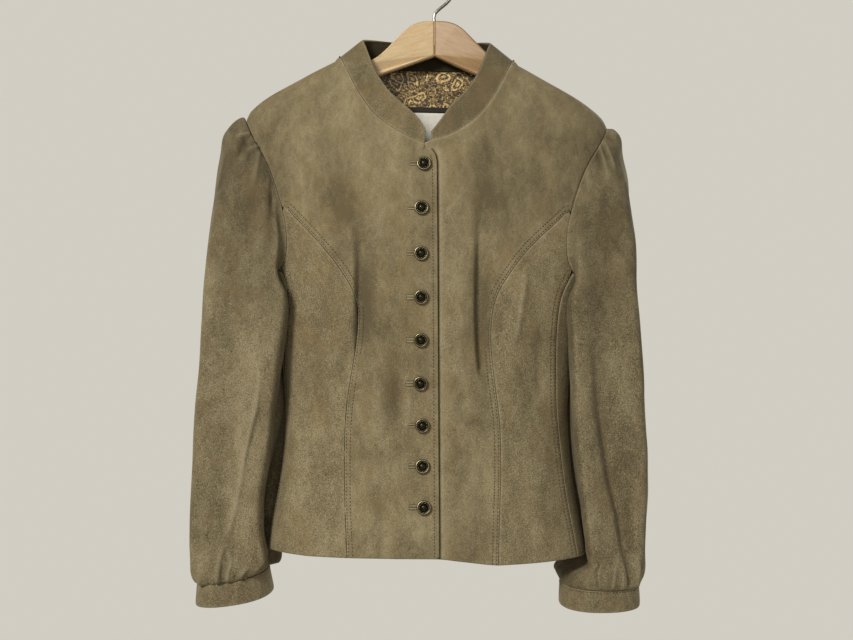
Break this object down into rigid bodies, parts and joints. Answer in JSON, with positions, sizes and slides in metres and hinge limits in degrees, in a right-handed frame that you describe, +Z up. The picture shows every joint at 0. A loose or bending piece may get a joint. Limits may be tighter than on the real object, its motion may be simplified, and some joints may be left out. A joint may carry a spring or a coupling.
{
  "type": "trachten suede jacket on a wooden clothes hanger",
  "caption": "Short fitted suede jacket with stand collar, princess seams, puffed sleeve heads and cuffs, buttoned on a wooden hanger with a wire hook.",
  "frame": {"origin": "inner top of the hanger's hook, where it rests on its rod", "axes": "+Z up, -Y to the jacket's front, +X to the wearer's left"},
  "size_m": [0.5079, 0.1182, 0.7175],
  "materials": {
    "suede": "olive-khaki suede, matt nap",
    "sleeve_suede": "slightly greyer suede, matt nap",
    "lining": "gold-brown patterned satin lining",
    "ribbon": "dark brown ribbon",
    "label": "bare cream woven label",
    "button_metal": "antiqued dark cast metal",
    "pale_beech": "clear varnish",
    "dark_beech": "clear varnish",
    "hook_steel": "drawn wire"
  },
  "bodies": {
    "root": {"right_front": "suede", "left_front": "suede", "right_side_front": "suede", "left_side_front": "suede", "right_side_back": "suede", "left_side_back": "suede", "right_back": "suede", "left_back": "suede", "collar": "suede", "right_sleeve": "sleeve_suede", "left_sleeve": "sleeve_suede", "right_cuff": "sleeve_suede", "left_cuff": "sleeve_suede", "back_lining": "lining", "hanging_loop": "ribbon", "neck_label": "label", "button_1": "button_metal", "button_2": "button_metal", "button_3": "button_metal", "button_4": "button_metal", "button_5": "button_metal", "button_6": "button_metal", "button_7": "button_metal", "button_8": "button_metal", "button_9": "button_metal", "hanger_right_arm": "pale_beech", "hanger_left_arm": "dark_beech", "hanger_hook": "hook_steel"}
  },
  "joints": []
}
